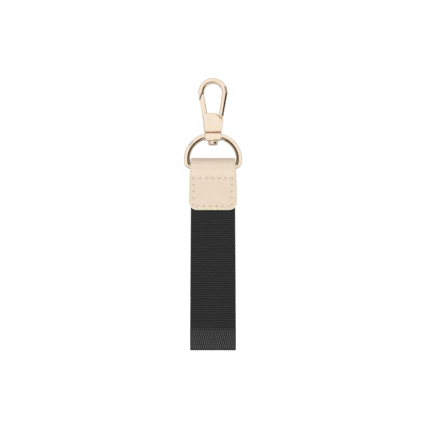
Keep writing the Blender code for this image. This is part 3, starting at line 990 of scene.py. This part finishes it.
@dataclass(frozen=True)
class Band:
    """A strip of even thickness carried along a line in the plane x = 0.

    Its section is a flat outer face, a round rim, a flat inner face and a round rim. The place of section
    point j on row i is x = b(w - r) + d and offset = n t along the line's outward normal, with w the half
    width, t the half thickness and r the rim's depth. Both t and d shrink towards the two ends, which are
    cut square.
    """

    line: Array
    half_w: Array
    half_t: float
    rim: float
    end_round: float
    outer_columns: int
    inner_columns: int
    rim_points: int = 5
    cut_share: float = 0.4

    def lengths(self) -> Array:
        """Distance along the line to each row."""
        return np.concatenate([[0.0], np.cumsum(np.hypot(*np.diff(self.line, axis=0).T))])

    def section(self) -> tuple[Array, Array, Array]:
        """The section's points as b, d and n of the class's formula."""
        turn = np.linspace(math.pi / 2, -math.pi / 2, self.rim_points + 2)[1:-1]
        out = np.linspace(-1.0, 1.0, self.outer_columns)
        back = np.linspace(1.0, -1.0, self.inner_columns)
        flat_out, flat_in, ones = np.ones_like(out), np.ones_like(back), np.ones_like(turn)
        base = np.concatenate([out, ones, back, -ones])
        reach = np.concatenate([0 * out, np.cos(turn), 0 * back, -np.cos(turn)]) * self.rim
        side = np.concatenate([flat_out, np.sin(turn), -flat_in, np.sin(turn)[::-1]])
        return base, reach, side

    def build(
        self,
        name: str,
        relief: Callable[[Array, Array, Array, Array], tuple[Array, dict[str, Array]]],
    ) -> bpy.types.Object:
        """Makes the strip.

        Args:
            name: the piece's name.
            relief: from x, z, distance along the line and side n, the extra height in millimetres and the
                numbers to store at each point.

        Returns:
            A closed mesh whose UV map is millimetres across and along.
        """
        along = self.lengths()
        slope = np.gradient(self.line, along, axis=0)
        slope /= np.linalg.norm(slope, axis=1, keepdims=True)
        outward = np.stack([-slope[:, 1], slope[:, 0]], axis=1)
        near = np.minimum(along, along[-1] - along) / self.end_round
        round_off = np.sqrt(np.clip(1.0 - np.clip(1.0 - near, 0.0, 1.0) ** 2, 0.0, 1.0))
        full = np.maximum(round_off, self.cut_share)[:, None]
        base, reach, side = (part[None, :] for part in self.section())
        x = base * (self.half_w[:, None] - self.rim) + reach * full
        offset = side * self.half_t * full
        z = self.line[:, 1:2] + outward[:, 1:2] * offset
        run = np.broadcast_to(along[:, None], x.shape)
        level = np.broadcast_to(side, x.shape)
        height, values = relief(x, z, run, level)
        offset = offset + height * full
        y = self.line[:, 0:1] + outward[:, 0:1] * offset
        z = self.line[:, 1:2] + outward[:, 1:2] * offset
        points = np.stack([x, y, z], axis=-1).reshape(-1, 3)
        quads = grid_quads(len(self.line), x.shape[1], False, True)
        uv = np.stack([x + 40.0 * (level < -0.99), run], axis=-1).reshape(-1, 2)
        numbers = {key: part.reshape(-1) for key, part in values.items()}
        return mesh_object(name, points, quads, numbers, uv, weld=True)


def spaced_line(corners: Array, steps: Array) -> Array:
    """Points on a line of corners at these distances from its start."""
    along = np.concatenate([[0.0], np.cumsum(np.hypot(*np.diff(corners, axis=0).T))])
    return np.stack([np.interp(steps, along, corners[:, k]) for k in range(2)], axis=1)


def line_length(corners: Array) -> float:
    """Length of a line of corners."""
    return float(np.hypot(*np.diff(corners, axis=0).T).sum())


@dataclass
class Tab:
    """The leather strip, folded over the ring's bar and sewn round on to the strap."""

    top: float = -40.6
    bottom: float = -69.0
    thickness: float = 1.4
    fold_r: float = 2.75
    panel_y: float = 2.2
    close_from: float = -46.5
    close_h: float = 4.5
    narrow_half: float = 12.0
    wide_half: float = 13.2
    corner_r: float = 4.4
    rim: float = 0.55
    hole_r: float = 0.46
    hole_depth: float = 0.5
    furrow: float = 0.04
    puff: float = 0.06
    stitch_left: float = -10.6
    stitch_right: float = 10.15
    stitch_top: float = -51.7
    stitch_bottom: float = -66.7
    stitch_low: float = -65.8
    top_row: tuple[float, float, int] = (-10.45, 10.2, 7)
    foot_row: tuple[float, float, int] = (8.8, -8.6, 6)
    shoulders: tuple[tuple[float, float, float], ...] = ((0.27, -41.5, 3.2), (0.33, -46.5, 3.0))
    pressed_from: float = -50.0
    highlight_from: float = -63.5
    thread_r: float = 0.26
    thread_pitch: float = 1.1
    thread_depth: float = 0.66
    thread_rise: float = 0.52
    strand: float = 0.13

    def holes(self) -> Array:
        """(x, z) of the needle holes in sewing order, round from the upper left."""
        along_top, along_foot = np.linspace(*self.top_row), np.linspace(*self.foot_row)
        down = np.linspace(self.stitch_top, self.stitch_low, 5)[1:]
        sides = (
            (along_top, self.stitch_top + 0 * along_top),
            (self.stitch_right + 0 * down, down),
            (along_foot, self.stitch_bottom + 0 * along_foot),
            (self.stitch_left + 0 * down, down[::-1]),
        )
        return np.vstack([np.stack(side, axis=1) for side in sides])

    def half_width(self, height: Array) -> Array:
        """Half the width at a height: soft shoulders (share, start, depth), the rest widening slowly."""
        soft = sum(share * eased((start - height) / deep) for share, start, deep in self.shoulders)
        rest = 1.0 - sum(share for share, _, _ in self.shoulders)
        slow = np.clip((self.close_from - height) / (self.close_from - self.bottom), 0.0, 1.0)
        return self.narrow_half + (self.wide_half - self.narrow_half) * (soft + rest * slow)

    def middle_line(self) -> Array:
        """(y, z) of the strip's middle: up the front, half a turn over the bar and down the back."""
        height = np.linspace(self.bottom, self.close_from, 60)
        share = eased((height - self.close_from + self.close_h) / self.close_h)
        side = self.panel_y + (self.fold_r - self.panel_y) * share
        front = np.stack([-side, height], axis=1)
        centre = self.top - self.thickness / 2 - self.fold_r
        turn = np.linspace(math.pi, 0.0, 60)
        over = np.stack([self.fold_r * np.cos(turn), centre + self.fold_r * np.sin(turn)], axis=1)
        back = front[::-1] * [-1.0, 1.0]
        return np.vstack([front, over, back])

    def rows(self, length: float) -> Array:
        """Distances of the rows: close together at both round-cornered ends, then about 0.2 apart."""
        turn = np.linspace(0.0, math.pi / 2, 26)[:-1]
        end = self.corner_r * (1.0 - np.cos(turn))
        middle = np.linspace(self.corner_r, length - self.corner_r, 250)
        return np.unique(np.concatenate([end, middle, length - end]))

    def relief(
        self, x: Array, z: Array, along: Array, side: Array
    ) -> tuple[Array, dict[str, Array]]:
        """Heights of the faces: a pressed furrow under the stitches, a soft swell beside it and the holes.

        Args:
            x: across places.
            z: heights.
            along: distances along the strip, which a band hands in and this relief doesn't use.
            side: 1 on the outer face and -1 on the inner one.

        Returns:
            The extra height and the attributes for the holes with their painted shade, the edge paint and
            the painted highlight along the foot.
        """
        outer = np.clip(side, 0.0, 1.0) ** 2
        seam = self.seam_distance(x, z)
        press = -self.furrow * np.exp(-((seam / 0.5) ** 2))
        swell = self.puff * np.exp(-(((np.abs(seam) - 1.15) / 0.6) ** 2))
        gap = np.full(x.shape, np.inf)
        for hx, hz in self.holes():
            gap = np.minimum(gap, np.hypot(x - hx, z - hz))
        # mask of the needle holes: it sinks them and marks the painted shade in them
        shaded_hole = np.exp(-((gap / self.hole_r) ** 2))
        body = eased(self.pressed_from - z)
        height = outer * body * (press + swell - self.hole_depth * shaded_hole)
        width = self.half_width(z)
        dx = np.abs(x) - width + self.corner_r
        dz = self.bottom + self.corner_r - z
        rim = rounded(dx, dz, self.corner_r)
        edge = np.maximum(eased((rim + 1.7) / 1.5), 1.0 - np.abs(side))
        # painted highlight along the lower rim of the foot, where the rounded edge catches light
        foot_highlight = eased((rim + 0.8) / 0.6) * eased((self.highlight_from - z) / 2.5)
        return height, {"shaded_hole": shaded_hole * outer * body, "edge": edge, "foot_highlight": foot_highlight}

    def seam_distance(self, x: Array, z: Array) -> Array:
        """Signed distance from the line of stitches, a box with round lower corners."""
        mid_x = 0.5 * (self.stitch_left + self.stitch_right)
        mid_z = 0.5 * (self.stitch_top + self.stitch_bottom)
        reach_x = 0.5 * (self.stitch_right - self.stitch_left)
        reach_z = 0.5 * (self.stitch_top - self.stitch_bottom)
        rounding = 1.0
        dx = np.abs(x - mid_x) - reach_x + rounding
        dz = np.abs(z - mid_z) - reach_z + rounding
        return rounded(dx, dz, rounding)

    def make_strip(self) -> bpy.types.Object:
        """Makes the leather."""
        corners = self.middle_line()
        length = line_length(corners)
        steps = self.rows(length)
        line = spaced_line(corners, steps)
        near = np.minimum(steps, length - steps)
        inset = self.corner_r - np.sqrt(
            np.clip(self.corner_r**2 - np.clip(self.corner_r - near, 0.0, None) ** 2, 0.0, None)
        )
        band = Band(
            line, self.half_width(line[:, 1]) - inset, self.thickness / 2, self.rim, 0.45, 128, 22
        )
        return band.build("leather_strip", self.relief)

    def thread_line(self, face: Face) -> Array:
        """Centreline of one thread, closed: an arch between holes, its ends drawn down into them."""
        holes = self.holes()
        ahead = np.roll(holes, -1, axis=0)
        share = np.linspace(0.0, 1.0, 20, endpoint=False)[None, :, None]
        flat = holes[:, None, :] + (ahead - holes)[:, None, :] * share
        lift = np.broadcast_to(np.sin(math.pi * share[..., 0]) ** 0.45, flat.shape[:2])
        surface = self.panel_y + self.thickness / 2
        depth = face.value * (surface - self.thread_depth + self.thread_rise * lift)
        return np.stack([flat[..., 0], depth, flat[..., 1]], axis=-1).reshape(-1, 3)

    def make_thread(self, face: Face, name: str) -> bpy.types.Object:
        """Makes one thread as a twisted cord.

        The radius at turn a and distance s is r(1 + strand cos(3a - 2 pi s / pitch)), so three strands
        wind round it.

        Args:
            face: the side of the tab that it lies on.
            name: the piece's name.

        Returns:
            A closed ring.
        """
        centre = self.thread_line(face)
        ahead = np.roll(centre, -1, axis=0) - np.roll(centre, 1, axis=0)
        ahead /= np.linalg.norm(ahead, axis=1, keepdims=True)
        out = np.array([0.0, face.value, 0.0])
        across = np.cross(ahead, out)
        across /= np.linalg.norm(across, axis=1, keepdims=True)
        up = np.cross(across, ahead)
        steps = np.linalg.norm(np.diff(centre, axis=0, append=centre[:1]), axis=1)
        along = np.concatenate([[0.0], np.cumsum(steps)[:-1]])
        turns = round(steps.sum() / self.thread_pitch)
        turn = np.linspace(0.0, 2 * math.pi, 12, endpoint=False)
        wave = np.cos(3 * turn[None, :] - 2 * math.pi * turns * along[:, None] / steps.sum())
        radius = self.thread_r * (1.0 + self.strand * wave)
        ring = np.cos(turn)[None, :, None] * across[:, None, :]
        ring = ring + np.sin(turn)[None, :, None] * up[:, None, :]
        points = (centre[:, None, :] + radius[:, :, None] * ring).reshape(-1, 3)
        quads = grid_quads(len(centre), len(turn), True, True)
        # where the painted shade between the strands falls
        strand_shade = {"strand_shade": (0.5 - 0.5 * wave).reshape(-1)}
        return mesh_object(name, points, quads, strand_shade, weld=True)

    def dress(self) -> None:
        strip = stand_in(self.make_strip(), Leather().build(), "leather_tab", "strap")
        finish = Thread().build()
        for face, name, node in (
            (Face.FRONT, "needle_stitches", "needle_thread"),
            (Face.BACK, "bobbin_stitches", "bobbin_thread"),
        ):
            stand_in(self.make_thread(face, name), finish, node, "strap")
        length = line_length(self.middle_line())
        LOG.info("tab: %d quads, %.1f mm long", len(strip.data.polygons), length)


@dataclass
class Strap:
    """The webbing, folded into a loop with both ends sewn in the tab."""

    tuck_top: float = -49.7
    open_from: float = -69.2
    wide_z: float = -136.9
    bottom: float = -145.9
    stack_half: float = 1.2
    loop_half: float = 5.5
    thickness: float = 1.1
    half_w_top: float = 12.15
    half_w_bottom: float = 12.6
    row_pitch: float = 1.19
    row_samples: int = 5
    columns: int = 22
    column_samples: int = 4
    crown: float = 0.13
    inner_crown: float = 0.05
    waviness: float = 0.32
    stroke_from: float = -132.6
    stroke_to: float = -143.9
    rim: float = 0.5

    @property
    def hidden(self) -> float:
        """Length of each end that is inside the tab."""
        return self.tuck_top - self.open_from - 1.0

    def picks(self, length: float) -> int:
        """Number of ribs between the hidden ends of a strap of this length."""
        return round((length - 2 * self.hidden) / self.row_pitch)

    def outer_line(self) -> Array:
        """(y, z) of the outer face: down the back, round the fold and up the front."""
        share = np.linspace(0.0, 1.0, 90)
        side = self.stack_half + (self.loop_half - self.stack_half) * eased(share)
        height = self.open_from + (self.wide_z - self.open_from) * share
        back = np.vstack([[self.stack_half, self.tuck_top], np.stack([side, height], axis=1)])
        turn = np.linspace(0.0, -math.pi, 90)
        drop = self.wide_z - self.bottom
        fold = np.stack([self.loop_half * np.cos(turn), self.wide_z + drop * np.sin(turn)], axis=1)
        return np.vstack([back, fold[1:-1], back[::-1] * [-1.0, 1.0]])

    def middle_line(self) -> Array:
        """The line half a thickness inside the outer face."""
        outer = self.outer_line()
        slope = np.gradient(outer, axis=0)
        slope /= np.linalg.norm(slope, axis=1, keepdims=True)
        outward = np.stack([-slope[:, 1], slope[:, 0]], axis=1)
        return outer - outward * self.thickness / 2

    def rows(self, length: float) -> Array:
        """Distances of the rows: row_samples to a pick where the strap shows, one inside the tab."""
        samples = self.picks(length) * self.row_samples + 1
        shown = np.linspace(self.hidden, length - self.hidden, samples)
        sewn = np.arange(0.4, self.hidden - 0.3, 1.4)
        ends = [0.0, 0.1, 0.22]
        steps = [ends, sewn, shown, length - sewn, length - np.array(ends)]
        return np.unique(np.concatenate(steps))

    def weave(
        self, x: Array, z: Array, along: Array, side: Array
    ) -> tuple[Array, dict[str, Array]]:
        """Height of the weave: ribs across the strap, each a row of crowns set half a step from the next.

        With p the phase along the strap and q the phase across it, the height is the rib
        0.5 + 0.5 cos p times 1 - w + w cos(q + half a turn on every other rib), w the waviness. Round the
        fold the ribs spread and long strokes of yarn show instead, 0.5 + 0.5 cos(q + half a turn on every
        other pair). The inner face has the ribs alone.

        Args:
            x: across places.
            z: heights.
            along: distances along the strap.
            side: 1 on the outer face and -1 on the inner one.

        Returns:
            The extra height and the attributes "crown" and "low".
        """
        hidden = self.hidden
        length = along.max()
        phase = (along - hidden) / (length - 2 * hidden) * self.picks(length)
        rib = 0.5 + 0.5 * np.cos(2 * math.pi * phase)
        odd = np.round(phase) % 2
        width = self.half_width(z)
        across = x / (2 * width) * self.columns
        outer = side > 0
        wave = self.waviness * np.cos(2 * math.pi * across + math.pi * odd)
        crown = np.where(outer, 1.0 - self.waviness + wave, 0.7)
        pairs = np.floor(phase / 2 + 0.25)
        turned = math.pi * (pairs % 2)
        stroke = np.where(outer, 0.5 + 0.5 * np.cos(2 * math.pi * across + turned), 0.5)
        # low marks the zone round the fold where strokes show; the material paints a brighter highlight
        # there
        low = eased((self.stroke_from - z) / 2.2) * (1.0 - 0.95 * eased((self.stroke_to - z) / 1.4))
        height = rib * crown * (1.0 - low) + stroke * (0.72 + 0.28 * rib) * low
        depth = np.where(outer, self.crown, self.inner_crown)
        shown = (along > hidden) & (along < length - hidden)
        relief = np.where(shown, depth * (2 * height - 1.0) * np.sign(side), 0.0)
        return relief, {"crown": np.where(shown, height, 0.4), "low": low}

    def half_width(self, height: Array) -> Array:
        """Half the width at a height: a little wider at the fold."""
        share = np.clip((self.open_from - height) / (self.open_from - self.bottom), 0.0, 1.0)
        return self.half_w_top + (self.half_w_bottom - self.half_w_top) * share

    def dress(self) -> None:
        corners = self.middle_line()
        length = line_length(corners)
        line = spaced_line(corners, self.rows(length))
        columns = self.columns * self.column_samples + 1
        band = Band(
            line, self.half_width(line[:, 1]), self.thickness / 2, self.rim, 0.3, columns, 20
        )
        piece = band.build("woven_strap", self.weave)
        stand_in(piece, Woven().build(), "webbing_strap", "strap")
        LOG.info("strap: %d quads, %.1f mm long", len(piece.data.polygons), length)


# ------------------------------------------------------------------ the studio


def rectangle(half_across: float, half_up: float) -> tuple[tuple[float, float], ...]:
    """Corners of a rectangle about a card's centre."""
    a, u = half_across, half_up
    return ((-a, -u), (a, -u), (a, u), (-a, u))


def opening_shape() -> tuple[tuple[float, float], ...]:
    """Corners of a card that fills the ring's opening, lower in the middle to keep off the rivet."""
    half, rise, foot = 13.9, 12.5, -3.4
    notch_half, notch_top = 4.7, 5.0
    turn = np.linspace(0.0, math.pi, 61)
    x = half * np.cos(turn)
    z = rise * np.sin(turn)
    z = np.where(np.abs(x) < notch_half, np.minimum(z, notch_top), z)
    return ((half, foot), *zip(x.tolist(), z.tolist()), (-half, foot))


@dataclass(frozen=True)
class Card:
    """A flag or a bounce card beside the object, which only its polish mirrors.

    Its front has its own colour. Its back is as bright as the surround.
    """

    name: str
    centre: tuple[float, float, float]
    across: tuple[float, float, float]
    up: tuple[float, float, float]
    outline: tuple[tuple[float, float], ...]
    colour: Colour = (0.115, 0.087, 0.048)

    def make(self) -> None:
        """Puts the card up: its corners are centre + a across + u up, in millimetres."""
        across, up = (np.array(side) / np.linalg.norm(side) for side in (self.across, self.up))
        corners = np.array(self.outline)
        points = np.array(self.centre) + corners[:, :1] * across + corners[:, 1:] * up
        mesh = bpy.data.meshes.new(self.name)
        mesh.from_pydata((points * MM).tolist(), [], [tuple(range(len(points)))])
        piece = bpy.data.objects.new(self.name, mesh)
        bpy.context.scene.collection.objects.link(piece)
        made, tree = new_tree(self.name)
        behind = tree.add("ShaderNodeNewGeometry", {}, {}, "Backfacing")
        tone = tree.mix(behind, self.colour, WHITE)
        light = tree.add("ShaderNodeEmission", {}, {"Color": tone})
        tree.add("ShaderNodeOutputMaterial", {}, {"Surface": light})
        mesh.materials.append(made)
        piece.visible_camera = False
        piece.visible_diffuse = False
        piece.visible_shadow = False
        piece.visible_transmission = False


@dataclass
class Studio:
    """Pale surround, a soft lamp in front, cards for the polish and the camera."""

    surround: float = 1.02
    fill: float = 0.41
    fill_above: float = 0.3
    dim_behind: float = 0.5
    dim_below: float = 0.2
    lamp_power: float = 1.12
    distance: float = 900.0
    lens: float = 139.0
    aim_z: float = -70.7
    floor_z: float = -320.0
    cards: tuple[Card, ...] = (
        Card("arm_flag", (22.0, -15.0, -12.4), (0, -1, 0), (0, 0, 1), rectangle(21.0, 8.2), DEEP),
        Card("eye_side", (22.0, -15.0, 1.8), (0, -1, 0), (0, 0, 1), rectangle(21.0, 6.0), TAN),
        Card("root_bounce", (14.4, -15.0, -19.2), (6, 0, -1), (0, 1, 0), rectangle(8.1, 21.0), WHITE),
        Card("body_side", (-22.0, -9.0, -23.0), (0, 1, 0), (0, 0, 1), rectangle(15.0, 4.6), PALE),
        Card("eye_flag", (-1.2, -8, -3), (-0.55, -1, 0), (0.3, -0.165, 0.94), rectangle(3, 2), SOFT),
        Card("ring_flag", (0, -4.3, -41.0), (-1, 0, 0), (0, 0, 1), opening_shape()),
        Card("rivet_flag", (4.2, -6.0, -32.9), (-1.2, -1, 0), (0, 0, 1), rectangle(4.6, 1.9), DEEP),
    )

    def light(self) -> None:
        """Sets the pale surround and the soft lamp."""
        world = bpy.data.worlds.new("pale_surround")
        world.use_nodes = True
        tree = Tree(world.node_tree)
        diffuse = tree.add("ShaderNodeLightPath", {}, {}, "Is Diffuse Ray")
        glossy = tree.add("ShaderNodeLightPath", {}, {}, "Is Glossy Ray")
        toward = tree.add("ShaderNodeTexCoord", {}, {}, "Generated")
        parts = tree.add("ShaderNodeSeparateXYZ", {}, {"Vector": toward}, "Y")
        height = tree.add("ShaderNodeSeparateXYZ", {}, {"Vector": toward}, "Z")
        behind = parts.eased(-0.1, 0.95) * self.dim_behind
        below = (0.0 - height).eased(0.15, 0.9) * self.dim_below
        sky = height.eased(0.1, 0.9) * self.fill_above
        less = self.surround - self.fill - sky
        strength = self.surround - diffuse * less - glossy * (behind + below)
        back = tree.add(
            "ShaderNodeBackground", {}, {"Color": (1.0, 1.0, 1.0, 1.0), "Strength": strength}
        )
        tree.add("ShaderNodeOutputWorld", {}, {"Surface": back})
        bpy.context.scene.world = world
        lamp = bpy.data.lights.new("soft_lamp", "AREA")
        lamp.shape = "DISK"
        lamp.size = 0.5
        lamp.energy = self.lamp_power
        held = bpy.data.objects.new("soft_lamp", lamp)
        held.location = (-0.15, -0.75, 0.5)
        held.rotation_euler = (math.radians(53.0), 0.0, math.radians(-10.0))
        held.visible_glossy = False
        bpy.context.scene.collection.objects.link(held)

    def floor(self) -> None:
        """Lays a plain pale floor far below the object."""
        size = 4000.0
        points = np.array(
            [[-size, -size, 0], [size, -size, 0], [size, size, 0], [-size, size, 0]], dtype=float
        )
        piece = mesh_object("pale_floor", points + [0, 0, self.floor_z], np.array([[0, 1, 2, 3]]))
        made, tree = new_tree("pale_floor")
        close_tree(
            tree,
            {
                "Base Color": (0.9, 0.9, 0.9, 1.0),
                "Roughness": 0.9,
                "Emission Color": (1.0, 1.0, 1.0, 1.0),
                "Emission Strength": 0.7,
            },
        )
        piece.data.materials.append(made)
        piece.visible_glossy = False

    def camera(self) -> None:
        """Sets the camera square on to the front."""
        data = bpy.data.cameras.new("front_camera")
        data.lens = self.lens
        data.sensor_width = 36.0
        data.clip_start = 0.01
        held = bpy.data.objects.new("front_camera", data)
        held.location = (0.0, -self.distance * MM, self.aim_z * MM)
        held.rotation_euler = (math.pi / 2, 0.0, 0.0)
        bpy.context.scene.collection.objects.link(held)
        bpy.context.scene.camera = held

    def set_up(self) -> None:
        """Makes the whole studio."""
        bpy.context.scene.view_settings.view_transform = "Standard"
        self.light()
        self.floor()
        self.camera()
        for card in self.cards:
            card.make()


def main() -> None:
    """Builds the pieces in order, then the studio."""
    logging.basicConfig(level=logging.INFO, format="%(name)s: %(message)s")
    Studio().set_up()
    Hook().dress()
    Rivet().dress()
    Ring().dress()
    Tab().dress()
    Strap().dress()
    bpy.context.view_layer.update()


if __name__ == "__main__":
    main()
